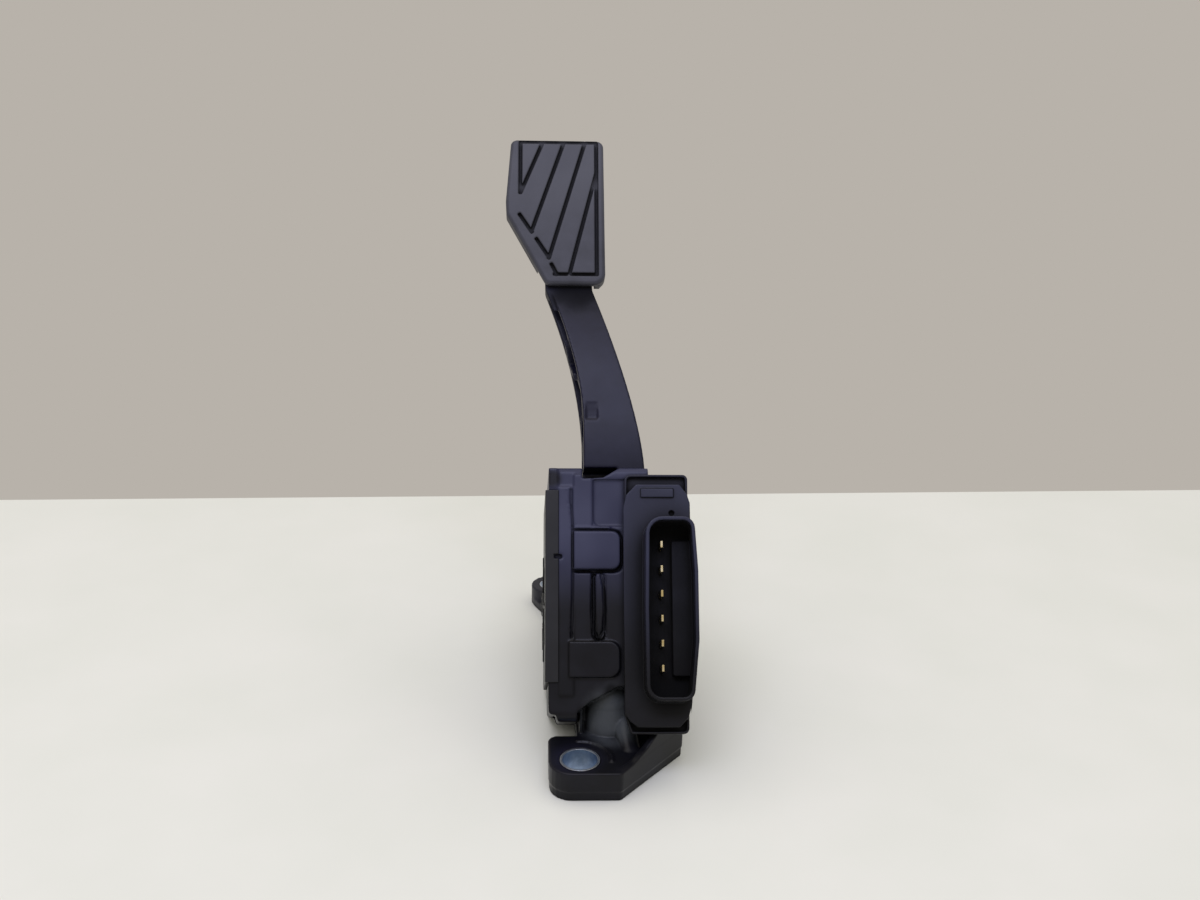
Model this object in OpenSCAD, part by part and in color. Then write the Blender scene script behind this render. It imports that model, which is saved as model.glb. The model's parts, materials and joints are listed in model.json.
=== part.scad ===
// Floor-mounted accelerator pedal module with a pedal position sensor.
// Millimetres. The origin is on the front bolt axis, at the mounting plane.
// X points to the right, Y away from the driver, Z up from the mounting plane.
// The unit leans back by one angle, so most pieces are drawn in a leaned frame
// whose x axis is the pivot, y points back and z points up along the pedal arm.

/* [Mounting] */
// Lean of the unit back from the bolt axes, degrees
lean = 34; // [28:1:38]
// Distance of the pivot behind the front bolt
pivot_y = 62; // [60:0.5:66]
// Height of the pivot above the mounting plane
pivot_z = 42; // [40:0.5:46]
// Thickness of the front foot
foot_t = 12; // [9:0.5:15]
// Inner radius of the front collar
front_collar_r = 6.7; // [4:0.1:7.5]
// Wall of the front collar
front_collar_wall = 0.8; // [0.6:0.1:1.6]
// Plastic left in front of the front collar
foot_lip = 2.4; // [1.5:0.1:5]
// Inner radius of the rear collar
rear_collar_r = 3.4; // [3:0.1:4.4]
// Wall of the rear collar
rear_collar_wall = 1.3; // [0.8:0.1:2]
// Sideways place of the rear bolt
rear_x = -9.4; // [-14:0.2:-4]
// Distance of the rear bolt behind the front bolt
rear_y = 148.8; // [140:0.2:160]
// Height of the rear lug
rear_lug_t = 9; // [6:0.5:12]

/* [Housing] */
// Left face of the housing
housing_x0 = -11.8; // [-14:0.1:-10.5]
// Inner face of the right wall
wall_x = 28; // [27.5:0.5:31]
// Right wall thickness
wall_t = 3; // [2:0.5:4]
// Shell thickness
shell = 2.6; // [2:0.1:3.2]
// Front face of the housing, ahead of the pivot
housing_front = 33; // [32:0.5:37]
// Back face of the housing, behind the pivot
housing_back = 30; // [28:0.5:36]
// Top of the housing above the pivot
housing_top = 52.2; // [50:0.1:56]
// Bottom of the spring chamber below the pivot
housing_bottom = 45.8; // [44:0.1:48]
// Thickness of the side cover's plate
cover_t = 1.3; // [1:0.1:2.6]

/* [Pedal arm] */
// Full travel of the pedal, degrees
travel = 16; // [8:1:17]
// Left face of the arm where it leaves the housing
arm_x0 = 2; // [1.5:0.5:4]
// Right face of the arm where it leaves the housing
arm_x1 = 26.2; // [25:0.1:27]
// Flange thickness of the arm
arm_flange = 3; // [2:0.2:4]
// Web and rib thickness of the arm
arm_web = 2.4; // [1.6:0.2:3.2]
// Radius of the arm's hub
hub_r = 13; // [12:0.5:13.5]

/* [Pad] */
// Left edge of the pad at its widest
pad_x0 = -29.3; // [-34:0.5:-26]
// Right edge of the pad
pad_x1 = 11.6; // [9:0.5:16]
// Bottom of the pad above the pivot
pad_z0 = 131.6; // [130:0.5:136]
// Height of the pad
pad_h = 63; // [56:1:74]
// Front face of the pad, ahead of the pivot
pad_front = 19; // [18.5:0.5:20.5]
// Thickness of the rubber in front of the carrier plate
pad_t = 3.6; // [3:0.1:4.4]
// Thickness of the carrier plate
plate_t = 2.6; // [2:0.1:3.4]
// Width of a groove in the pad
groove_w = 1.5; // [0.8:0.1:2]
// Depth of a groove in the pad
groove_d = 2; // [0.6:0.1:2.2]

/* [Spring pack] */
// Wire radius of the outer spring
outer_wire = 0.95; // [0.6:0.05:1.1]
// Coil radius of the outer spring
outer_coil = 6.4; // [6:0.1:6.6]
// Turns of the outer spring
outer_turns = 6; // [5:1:8]
// Wire radius of the inner spring
inner_wire = 0.6; // [0.4:0.05:0.7]
// Coil radius of the inner spring
inner_coil = 4.1; // [3.7:0.1:4.4]
// Turns of the inner spring
inner_turns = 8; // [6:1:10]
// Radius of the pivot shaft
shaft_r = 4; // [3:0.25:4.5]
// Radius of the spring rotor's barrel
rotor_r = 12.4; // [11:0.2:12.6]

/* [Sensor] */
// Width of the sensor's frame
frame_w = 25.2; // [25:0.2:28]
// Height of the sensor's frame
frame_h = 99.2; // [94:0.2:102]
// Thickness of the frame
frame_t = 3.2; // [2.6:0.2:4.2]
// Thickness of the connector cap's plate
cap_t = 2.8; // [2:0.2:3.6]
// Width of the connector shroud
shroud_w = 20; // [18:0.2:21]
// Height of the connector shroud
shroud_h = 68.8; // [64:0.2:72]
// Reach of the shroud ahead of the cap
shroud_d = 12.5; // [9:0.5:16]
// Wall of the shroud
shroud_wall = 1.4; // [1:0.1:2]
// Number of terminals
pins = 6; // [4:1:6]
// Distance between terminals
pin_pitch = 9.3; // [7:0.1:9.6]
// Width of a terminal blade
pin_w = 0.8; // [0.5:0.05:1.4]
// Height of a terminal blade
pin_h = 2.4; // [1.2:0.1:3.2]

/* [Hidden] */

// Clearances
run_gap = 0.05;
seat_gap = 0.1;
side_gap = 0.3;
eps = 0.01;

// Reach of cutting shapes, past everything they cut
far = 120;

// Facets of round things, and of a rounded corner
fn_round = 64;
corner_n = 6;

// Rounded outlines: each corner is [across, up, radius]
function unit(v) = v / norm(v);
function turn(a) = a > 180 ? a - 360 : a < -180 ? a + 360 : a;
function corner(a, b, c, r) = r <= 0 ? [b] :
    let (u = unit(a - b), v = unit(c - b), half = acos(u * v) / 2)
    let (mid = b + unit(u + v) * r / sin(half), p = b + u * r / tan(half), q = b + v * r / tan(half))
    let (a0 = atan2(p[1] - mid[1], p[0] - mid[0]), a1 = atan2(q[1] - mid[1], q[0] - mid[0]))
    [for (i = [0:corner_n]) mid + r * [cos(a0 + turn(a1 - a0) * i / corner_n),
        sin(a0 + turn(a1 - a0) * i / corner_n)]];
function xy(p) = [p[0], p[1]];
function rounded(pts) = let (n = len(pts))
    [for (i = [0:n - 1]) each corner(xy(pts[(i + n - 1) % n]), xy(pts[i]), xy(pts[(i + 1) % n]), pts[i][2])];

// An outline moved inwards by d; its corners keep their rounding where there is room
function inset_at(a, b, c, d) = let (u = unit(b - a), v = unit(c - b), m = [-u[1], u[0]], n = [-v[1], v[0]])
    b + (m + n) * d / (1 + m * n);
function inset(pts, d) = let (n = len(pts))
    [for (i = [0:n - 1]) let (p = inset_at(xy(pts[(i + n - 1) % n]), xy(pts[i]), xy(pts[(i + 1) % n]), d))
        [p[0], p[1], max(pts[i][2] - d, 0)]];

// A quadratic curve through a and c, pulled towards b
function curve(a, b, c, n) = [for (i = [0:n]) let (t = i / n)
    a * (1 - t) * (1 - t) + b * 2 * t * (1 - t) + c * t * t];

// A box with rounded corners as an outline, from two opposite corners
function round_box(x0, z0, x1, z1, r) = rounded([[x0, z0, r], [x1, z0, r], [x1, z1, r], [x0, z1, r]]);

module leaned() translate([0, pivot_y, pivot_z]) rotate([-lean, 0, 0]) children();
module along_x(x0, x1) translate([x0, 0, 0]) rotate([90, 0, 90]) linear_extrude(x1 - x0) children();
module along_y(y0, y1) translate([0, y1, 0]) rotate([90, 0, 0]) linear_extrude(y1 - y0) children();
module rod_x(x0, x1, r) translate([x0, 0, 0]) rotate([0, 90, 0]) cylinder(r = r, h = x1 - x0, $fn = fn_round);
module rod_y(y0, y1, r) translate([0, y1, 0]) rotate([90, 0, 0]) cylinder(r = r, h = y1 - y0, $fn = fn_round);
module ring_x(x0, x1, ro, ri) difference() {
    rod_x(x0, x1, ro);
    rod_x(x0 - 1, x1 + 1, ri);
}

// Height, in the leaned frame, of a level plane h above the mounting plane
function level(y, h) = (h - pivot_z + y * sin(lean)) / cos(lean);
function level_y(z, h) = (pivot_z - h + z * cos(lean)) / sin(lean);

// Two corners of the arm's back above the hub, and where full travel takes them
arm_heel = [3, 30];
arm_nape = [-5, 52];
function swung(p) = [p[0] * cos(travel) + p[1] * sin(travel), p[1] * cos(travel) - p[0] * sin(travel)];
function swung_back(z) = let (a = swung(arm_heel), b = swung(arm_nape))
    a[0] + (b[0] - a[0]) * (z - a[1]) / (b[1] - a[1]);

// Housing side outlines, as [y, z, radius] in the leaned frame
housing_lift = 2;
top_back = [housing_back, housing_top - 15, 6];
top_edge = [18, housing_top, 4];
back_low = [housing_back, level(housing_back, housing_lift), 0];
left_side = [[level_y(-housing_bottom, housing_lift), -housing_bottom, 0], back_low, top_back, top_edge,
    [-housing_front, housing_top, 2.5], [-housing_front, -housing_bottom, 3.5]];
right_side = [[-1, level(-1, housing_lift), 0], back_low, top_back, top_edge,
    [-housing_front, housing_top, 2.5], [-housing_front, -43, 3], [-housing_front + 10, -44, 3]];
housing_x1 = wall_x + wall_t;
cover_x0 = housing_x0 - cover_t;
cover_in = 1.6;
cover_rim = 4.2;
cover_z = [-31, 43];
flange_x = -8;
flange_t = 0.6;

// Front view of the housing's lower end: the left column, the round lobe, then the sloping underside
column_x = -8.9;
column_z = -43;
lobe_x = -0.9;
lobe_outline = [[housing_x0, column_z, 1.6], [column_x, column_z, 0], [column_x, -housing_bottom - 1, 3.4],
    [lobe_x, -housing_bottom - 1, 1.2], [lobe_x, housing_top + 1, 0], [housing_x0, housing_top + 1, 0]];
underside = [[lobe_x, -42.2], [3.9, -38.2], [15, -32.6], [17, -32.6], [housing_x1 + 1, -33]];
front_in = -housing_front + shell;
flange_y = -housing_front - 0.05;
// Floor of the front of the chamber; behind chamber_step it goes down to the shell
chamber_z0 = -29.4;
chamber_step = -16;

// Arm opening in the housing's top
slot_x0 = arm_x0 - 0.8;
slot_y = [front_in, swung(arm_nape)[0] + 2.6];
stop_z = [37, 45.5];
stop_h = stop_z[1] - stop_z[0];
stop_x = [8, 20];
stop_rib_y = swung_back(stop_z[0]) + 3.2;
stop_rib_t = 2.6;

// Bearing places along the pivot
boss_r = 11;
bush_wall = 1.4;
hub_x0 = 10.6;
hub_x1 = wall_x - 1;
cover_boss_x = housing_x0 + 3.1;
washer_t = 1.4;
rotor_x0 = cover_boss_x + washer_t + seat_gap;
rotor_x1 = hub_x0 - side_gap;
bush_r = shaft_r + 2.4;
yoke_r = 8.8;
yoke_wall = 1.6;
magnet_t = 1.7;
nose_r = 4.6;
yoke_x0 = 23;

// Spring pack place
spring_x = 5.5;
spring_z = -23;
seat_y = 3.6;
seat_t = 2.2;
seat_pilot = 4;
spring_front = front_in;

// Sensor place
frame_x0 = 16.8;
frame_z0 = -50.5;
frame_z1 = frame_z0 + frame_h;
frame_front = -housing_front - seat_gap - frame_t;
cap_front = frame_front - cap_t;
cap_x0 = frame_x0 - 0.1;
cap_x1 = frame_x0 + frame_w + 0.5;
cap_z0 = frame_z0 + 2.5;
cap_z1 = frame_z1 - 4.4;
shroud_x0 = 23.9;
shroud_z0 = -38.9;
shroud_mid = shroud_z0 + shroud_h / 2;
pin_x = 30.6;
pin_mid = -3.4;
pin_reach = shroud_d - 4.5;
cavity_step = 2.4;
body_x0 = housing_x1 + side_gap;
body_x1 = frame_x0 + frame_w - 0.8;
body_r = 21;
tray_d = 1.6;
frame_lip = 1;
body_wall = 2.4;
channel_wall = 2;
channel_x0 = body_x0 + body_wall;
channel_x1 = body_x1 - channel_wall;
channel_z = 9;
screw_seat = 3.4;
screw_head_t = 2.4;

// Side view of the sensor's body behind the frame, and the ring on its face
body_side = [[-6, -41, 14], [16, -35, 8], [25, -22, 5], [26, 24, 8], [15, 38, 8], [-14, 43, 12]];
body_front_z = [-42, 43];
body_ring = [12, 10.4];

// Corner cuts of the cap's outline, as [across, up] from its own corners
cap_cut_lower_left = [[0, 5], [2, 2.2], [4.9, 0]];
cap_cut_lower_right = [[5.1, 0], [1.8, 3.5], [0.4, 8.3]];
cap_cut_upper_right = [[0, 7.2], [1.1, 3.8], [4, 0]];
cap_cut_upper_left = [[5.1, 0], [1.2, 4.1], [0, 9]];
cap_corner_r = 1.2;

// Main casting of the housing

module front_rail(x0, x1, z0, z1, d, r) along_y(-housing_front - d, -housing_front + 1)
    polygon(round_box(x0, z0, x1, z1, r));

tab_z = [12.1, 26.6];
block_z = [-29.1, -15.6];
panel_z = [28.8, 47.4];

tab_outline = rounded([[-2.6, tab_z[0], 0.5], [15.7, tab_z[0], 3], [15.7, tab_z[1], 3], [-2.6, tab_z[1], 0.5]]);

module front_features() {
    // Band beside the cover, the stop tab, its ledge and the spring pocket's block
    front_rail(flange_x + 0.3, -2.4, -36, housing_top - 8, 0.5, 0.6);
    front_rail(-1.9, 4.9, panel_z[0] + 0.6, housing_top - 3, 0.8, 0.6);
    along_y(-housing_front - 2, -housing_front + 1) polygon(tab_outline);
    front_rail(-1.9, 12, tab_z[1] + 0.6, panel_z[0], 0.9, 0.4);
    along_y(-housing_front - 1.5, -housing_front + 1) polygon(rounded([[-4.1, block_z[0], 0.5],
        [15.4, block_z[0], 4], [15.4, block_z[1], 4], [-4.1, block_z[1], 0.5]]));
    front_rail(6.2, 9.4, -14.8, 10.5, 1.3, 1.55);
    // Corner block at the top, beside the cover
    front_rail(housing_x0, -8.3, 43.6, housing_top - 0.4, 0.5, 0.3);
}

// Small catch notch where the cover's front flange ends
module catch_notch() along_y(-housing_front - 2, -housing_front + 1.2)
    polygon([[-9.8, 16.2], [-6.6, 16.2], [-6.6, 18], [-9.8, 18]]);

module front_recesses() {
    along_y(-housing_front - eps, -housing_front + 1)
        polygon(rounded([[5.4, panel_z[0], 3], [wall_x, panel_z[0], 0], [wall_x, panel_z[1], 0],
            [5.4, panel_z[1], 0.5]]));
    // Groove round the tab, wider at its right and under it
    along_y(-housing_front - eps, -housing_front + 0.8) difference() {
        polygon(round_box(-3.4, tab_z[0] - 1.3, 17, tab_z[1] + 0.4, 3.4));
        polygon(tab_outline);
    }
    // Slots beside the upright rib
    along_y(-housing_front - eps, -housing_front + 1.4) difference() {
        polygon(round_box(4.7, -15.2, 10.4, 11, 2.6));
        polygon(round_box(6.2, -14.8, 9.4, 10.5, 1.55));
    }
    catch_notch();
}

// Foot outline: the long diagonal edge runs from foot_a to foot_b
foot_x0 = -11.8;
foot_y0 = -front_collar_r - front_collar_wall - foot_lip;
foot_a = [15.2, foot_y0];
foot_b = [40.6, 20.2];
foot_notch = [-0.8, 16];
foot_back = 44;
foot_points = [[foot_x0, foot_y0, 9], [foot_a[0], foot_a[1], 2.5], [foot_b[0], foot_b[1], 1.5],
    [foot_b[0], 31, 2], [housing_x1 - 1, 31, 0], [housing_x1 - 1, foot_back, 0],
    [foot_notch[0], foot_back, 0],
    [foot_notch[0], foot_notch[1], 0], [foot_x0, foot_notch[1], 3.5]];
foot_step = 4;

module foot() {
    linear_extrude(foot_step) polygon(rounded(inset(foot_points, 0.35)));
    translate([0, 0, foot_step]) linear_extrude(foot_t - foot_step) polygon(rounded(foot_points));
    // Raised ridge round the collar's far side
    translate([0, 0, foot_t]) intersection() {
        difference() {
            cylinder(r = 12.6, h = 0.8, $fn = fn_round);
            translate([0, 0, -1]) cylinder(r = 11.4, h = 3, $fn = fn_round);
        }
        translate([-1, -2, 0]) cube([15, 15, 1]);
    }
}

// Height of the wall over the foot's diagonal edge, as [along, up]
edge_wall = [[1.5, foot_step + 2], [1.5, foot_t], [8, foot_t + 0.6], [15.7, foot_t + 3], [21.3, foot_t + 6],
    [26, foot_t + 9.2], [38, foot_t + 6.6], [38, foot_step + 2]];
edge_wall_t = 2.6;
neck_at = [11.8, 25.5];
neck_r = 11.2;
neck_top_r = 8.4;
neck_h = 11;
buttress_fn = 32;

// Round neck from the foot up to the spring pocket, its buttress and webs, and the wall over the diagonal edge
module neck() {
    translate([neck_at[0], neck_at[1], foot_t - 1])
        cylinder(r1 = neck_r, r2 = neck_top_r, h = neck_h, $fn = fn_round);
    translate([neck_at[0], neck_at[1], foot_t - 1 + neck_h]) sphere(r = neck_top_r, $fn = fn_round);
    hull() {
        translate([19.6, 7, foot_t - 1]) cylinder(r = 3.2, h = 1, $fn = buttress_fn);
        translate([17.6, 18.5, foot_t + 2.5]) sphere(r = 4.6, $fn = buttress_fn);
    }
    along_x(0.2, 1.4)
        polygon([[17.5, foot_t - 1], [17, 20], [16, 26], [30, 32], [foot_back, foot_t - 1]]);
    along_x(wall_x - 1, housing_x1) polygon([[24, foot_t - 1], [60, foot_t - 1], [60, 30], [34, 30]]);
    translate([foot_a[0], foot_a[1], 0])
        rotate([0, 0, atan2(foot_b[1] - foot_a[1], foot_b[0] - foot_a[0])])
            translate([0, edge_wall_t + 0.05, 0]) rotate([90, 0, 0])
                linear_extrude(edge_wall_t) polygon(edge_wall);
}

leg_t = 4;
leg_x0 = -9.6;
leg_ribs = [leg_x0, 1.4];
rib_t = 2.4;
lug_r = rear_collar_r + rear_collar_wall + 3.7;

module rear_leg() {
    linear_extrude(leg_t) polygon([[leg_x0, 56], [0, foot_back - 1], [housing_x1, foot_back - 1],
        [housing_x1, 76], [3.8, 126], [rear_x + 7, rear_y + 3], [rear_x - 7.6, rear_y - 4],
        [leg_x0, rear_y - 19.4]]);
    for (x = leg_ribs)
        along_x(x, x + rib_t)
            polygon([[64, 1], [rear_y - 14, 1], [rear_y - 16, 9], [112, 42], [98, 50], [80, 30]]);
    // Cross ribs between the two side ribs
    for (y = [90, 108, 124])
        translate([leg_ribs[0] + 1, y, 1]) cube([leg_ribs[1] - leg_ribs[0], 2, (rear_y - 10 - y) * 0.6]);
    translate([rear_x, rear_y, 0]) cylinder(r = lug_r, h = rear_lug_t, $fn = fn_round);
    translate([rear_x - 4, rear_y - 15, 0]) cube([8, 10, rear_lug_t]);
}

screw_spots = [[19, 27], [19, -22]];
screw_r = 1.6;

module base_shell() difference() {
    union() {
        foot();
        rear_leg();
        neck();
        leaned() {
            intersection() {
                along_x(housing_x0, lobe_x) polygon(rounded(left_side));
                along_y(-far, far) polygon(rounded(lobe_outline));
            }
            difference() {
                along_x(lobe_x - eps, housing_x1) polygon(rounded(right_side));
                // Sloping underside, and the right wall's lower top behind the sensor
                along_y(-far, -housing_front + 14)
                    polygon(concat(underside, [[housing_x1 + 1, -far], [lobe_x, -far]]));
                along_x(wall_x - 1, housing_x1 + 1) polygon([[-far, frame_z1 - 3], [-far, far], [-14, far],
                    [-14, housing_top], [-26, frame_z1 - 3]]);
            }
            front_features();
        }
    }
    leaned() {
        // Chamber for the arm, the rotor and the springs, with a thicker floor
        along_x(housing_x0 + 2.4, wall_x) difference() {
            polygon(rounded(inset(right_side, shell)));
            translate([-far, -far]) square([far + chamber_step, far + chamber_z0]);
        }
        translate([spring_x, 0, spring_z])
            rod_y(front_in, chamber_step + 1, outer_coil + outer_wire + side_gap);
        // Cover opening
        along_x(housing_x0 - 1, housing_x0 + 3) intersection() {
            polygon(rounded(inset(left_side, cover_rim)));
            translate([-far, cover_z[0] + shell]) square([2 * far, cover_z[1] - cover_z[0] - 2 * shell]);
        }
        // Arm opening, with the front wall cut lower in front of the arm
        translate([slot_x0, slot_y[0], stop_z[1] - 1])
            cube([wall_x - slot_x0, slot_y[1] - slot_y[0], 20]);
        along_y(-housing_front - 5, front_in + 1)
            polygon([[slot_x0, 47.5], [9.6, 48.2], [16, housing_top], [16, far], [slot_x0, far]]);
        // Bearing hole, screw holes and the recesses of the front face
        rod_x(wall_x - 1, housing_x1 + 1, boss_r + bush_wall + run_gap);
        for (s = screw_spots)
            translate([0, s[0], s[1]]) rod_x(wall_x - 1, housing_x1 + 1, screw_r);
        front_recesses();
    }
    translate([0, 0, -1])
        cylinder(r = front_collar_r + front_collar_wall + run_gap, h = foot_t + 3, $fn = fn_round);
    translate([rear_x, rear_y, -1])
        cylinder(r = rear_collar_r + rear_collar_wall + run_gap, h = rear_lug_t + 3, $fn = fn_round);
}

module support_base() color("#2c2c36") union() {
    base_shell();
    // Cross wall that carries the full-travel stop
    leaned() along_x(housing_x0 + 2.5, wall_x + 0.5)
        polygon([[stop_rib_y, 31], [stop_rib_y + stop_rib_t, 31],
            [stop_rib_y + stop_rib_t, housing_top - 1.5], [stop_rib_y, housing_top - 1.5]]);
}

// Left cover, snapped into the housing's open side

module cover_outline(d) intersection() {
    polygon(rounded(inset(left_side, d)));
    translate([-far, cover_z[0] + d - cover_in])
        square([2 * far, cover_z[1] - cover_z[0] - 2 * (d - cover_in)]);
}

module side_cover() color("#303036") leaned() difference() {
    union() {
        along_x(cover_x0, housing_x0 - eps) cover_outline(cover_in);
        along_x(housing_x0 - 0.5, housing_x0 + 2.2) difference() {
            cover_outline(cover_rim + 0.35);
            cover_outline(cover_rim + 2);
        }
        rod_x(housing_x0 - 0.5, cover_boss_x, rotor_r);
        // Flange round the housing's front corner
        along_x(cover_x0, flange_x) polygon([[flange_y - flange_t, cover_z[0]], [flange_y, cover_z[0]],
            [flange_y, cover_z[1]], [flange_y - flange_t, cover_z[1]]]);
        along_x(cover_x0, housing_x0 - eps) polygon([[flange_y - flange_t, cover_z[0]],
            [-housing_front + 3, cover_z[0]], [-housing_front + 3, cover_z[1]],
            [flange_y - flange_t, cover_z[1]]]);
        // Stiffening ribs on the outside
        for (a = [0:45:315])
            rotate([a, 0, 0]) translate([cover_x0 - 0.6, 9, -0.7]) cube([1.2, 12, 1.4]);
        ring_x(cover_x0 - 0.6, cover_x0 + 0.5, 9.4, 7.8);
    }
    rod_x(housing_x0 - 0.5, cover_boss_x + 1, bush_r + run_gap);
    catch_notch();
}

// Bolt collars

module collar(r, wall, h) difference() {
    cylinder(r = r + wall, h = h, $fn = fn_round);
    translate([0, 0, -1]) cylinder(r = r, h = h + 2, $fn = fn_round);
}

module front_collar() color("#8d9aa6") collar(front_collar_r, front_collar_wall, foot_t);

module rear_collar() color("#8d9aa6") translate([rear_x, rear_y, 0])
    collar(rear_collar_r, rear_collar_wall, rear_lug_t);

// Bearings, friction washers and stops on the housing

module bush_left() color("#c8bfa0") leaned()
    ring_x(housing_x0 - 0.4, cover_boss_x, bush_r, shaft_r + run_gap);

module bush_right() color("#c8bfa0") leaned()
    ring_x(wall_x, housing_x1, boss_r + bush_wall, boss_r + run_gap);

module friction_washer_left() color("#6b5a3e") leaned()
    ring_x(cover_boss_x, cover_boss_x + washer_t, rotor_r - 0.4, shaft_r + 1);

module friction_washer_right() color("#6b5a3e") leaned()
    ring_x(hub_x1 + seat_gap, wall_x, boss_r + 4, boss_r + 0.4);

module idle_stop() color("#202022") leaned() translate([stop_x[0], front_in, stop_z[0]])
    cube([stop_x[1] - stop_x[0], arm_front_y - side_gap - front_in, stop_h]);

// The arm's back meets this pad at full travel
module full_stop() color("#202022") leaned() along_x(stop_x[0], stop_x[1])
    polygon([[swung_back(stop_z[0]) + side_gap, stop_z[0]], [stop_rib_y, stop_z[0]],
        [stop_rib_y, stop_z[1]], [swung_back(stop_z[1]) + side_gap, stop_z[1]]]);

// Pedal arm

arm_split = 50;
arm_top = 184;
hub_clear = rotor_r + 0.6;

arm_front_y = -27.2;
curve_n = 14;
arm_notch_d = 12;

left_edge = concat([[arm_x0, 12]], curve([arm_x0, 62], [arm_x0 - 0.3, 92], [-13, 130], curve_n),
    [[-14.5, arm_top]]);
right_edge = concat([[4, arm_top]], curve([6.3, 129.7], [arm_x1 - 0.6, 73], [arm_x1, 50], curve_n),
    [[arm_x1, 12]]);
mid_edge = concat([[14.4, 12]], curve([14.4, 62], [13.9, 84], [-2.7, 130], curve_n), [[-5, arm_top]]);
// The front flange's left edge keeps to the right of the back flange's
front_left_edge = curve([arm_x0 - eps, 66], [arm_x0 + 1, 92], [-11, 130], curve_n);
arm_front_line = concat([[-12.9, -2], [arm_front_y, 34]],
    curve([arm_front_y, 46], [-30, 88], [-pad_front + pad_t, pad_z0 - side_gap], curve_n),
    [[-pad_front + pad_t, arm_top]]);
arm_back_line = concat([[-10.4, arm_top], [-8, 150]], curve([-6.8, 134], [-8, 92], arm_nape, curve_n),
    [arm_heel, [12.9, 2]]);
arm_side = concat(arm_back_line, arm_front_line);

// Heights of the diagonal ribs across the arm's open sides
rib_marks = [60, 76, 92, 108, 124];

module arm_pocket(side) difference() {
    intersection() {
        along_y(-60, 60) polygon(side > 0 ?
            concat([for (p = mid_edge) p + [arm_web / 2, 0]], [[60, arm_top], [60, 12]]) :
            concat([for (p = mid_edge) p - [arm_web / 2, 0]], [[-60, arm_top], [-60, 12]]));
        along_x(-60, 60) polygon([for (p = arm_inside) p]);
    }
    for (i = [0:len(rib_marks) - 1])
        translate([-60, -17, rib_marks[i]]) rotate([i % 2 == 0 ? 42 : -42, 0, 0])
            translate([0, -30, -arm_web / 2]) cube([120, 60, arm_web]);
}

arm_inside = concat([[-10.4, 127]], curve([-9.6, 125], [-11, 92], [-8, 54], curve_n),
    curve([-23.8, 54], [-26.4, 88], [-14.6, 125], curve_n), [[-pad_front + pad_t + arm_flange, 127]]);

module pad_outline(d) polygon(rounded(inset(pad_points, d)));

pad_points = [[-12.8, pad_z0, 3], [pad_x1, pad_z0, 4.5], [pad_x1 - 0.6, pad_z0 + pad_h, 3],
    [pad_x0 + 1.8, pad_z0 + pad_h, 2.5], [pad_x0 - 0.3, pad_z0 + 36, 2], [pad_x0, pad_z0 + 30, 2]];
plate_in = 2.2;

module pedal_arm() color("#34343e") leaned() difference() {
    union() {
        intersection() {
            along_y(-60, 60) polygon(concat(left_edge, right_edge));
            along_x(-60, 60) polygon(arm_side);
            union() {
                translate([-60, -60, 14]) cube([120, 120, 200]);
                translate([hub_x0, -60, -20]) cube([hub_x1 - hub_x0, 120, 60]);
            }
        }
        rod_x(hub_x0, hub_x1, hub_r);
        rod_x(hub_x1 - 1, housing_x1, boss_r);
        along_x(hub_x0, hub_x1) polygon([[-12.9, -2], [-20, 16], [8, 16], [12.9, 2]]);
        along_y(-pad_front + pad_t, -pad_front + pad_t + plate_t) pad_outline(plate_in);
    }
    arm_pocket(-1);
    arm_pocket(1);
    // Room for the rotor beside the hub, its dogs, the shaft and the magnet ring
    rod_x(-60, hub_x0, hub_clear);
    rod_x(hub_x0 - 1, hub_x0 + 9.6, shaft_r + 0.01);
    rotor_dogs(hub_x0 - 1, hub_x0 + 3.4, 0.15);
    rod_x(yoke_x0 - 0.5, housing_x1 + 1, yoke_r + 0.05);
    along_y(-60, -16) polygon(concat(front_left_edge, [[-11.2, pad_z0 - side_gap], [-60, pad_z0 - side_gap],
        [-60, 66]]));
    // Plain recess in the arm's face, and the notch above the housing's front wall
    translate([2.8, -40, 72.8]) cube([5, 13.5, 7.2]);
    along_y(-60, arm_front_y + arm_notch_d)
        polygon([[arm_x0 - 1, 47.4], [10, 48.4], [16.4, 53.2], [arm_x0 - 1, 53.2]]);
}

// Rubber pad, pulled over the arm's carrier plate

groove_lines = [
    [[-14.3, 62], [-23.5, 39.6]], [[-5.5, 62], [-18.8, 22.9]], [[3.3, 62], [-11.7, 11.2]],
    [[8, 48.6], [-3.1, 4.8]], [[-23.6, 62], [-23.6, 39.6]], [[8, 62], [8, 4.2]], [[-23.6, 62], [8, 62]],
    [[-9.3, 4.2], [-4.6, 4.2]], [[-2.2, 4.2], [7, 4.2]], [[-23.8, 29.9], [-18.8, 22.4]],
    [[-16.8, 19.3], [-11.8, 11.6]], [[-10.6, 8.4], [-8.4, 4.2]]];

// Opening in the pad's lower lip for the arm
arm_neck = [[-16.2, pad_z0 - 1], [8.2, pad_z0 - 1], [7.4, pad_z0 + 10.5], [-16.2, pad_z0 + 10.5]];

module groove(a, b) let (u = unit(b - a) * groove_w / 2, v = [-u[1], u[0]])
    polygon([a - u + v, a - u - v, b + u - v, b + u + v]);

pad_back = -pad_front + pad_t + plate_t + 1.2;

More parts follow.
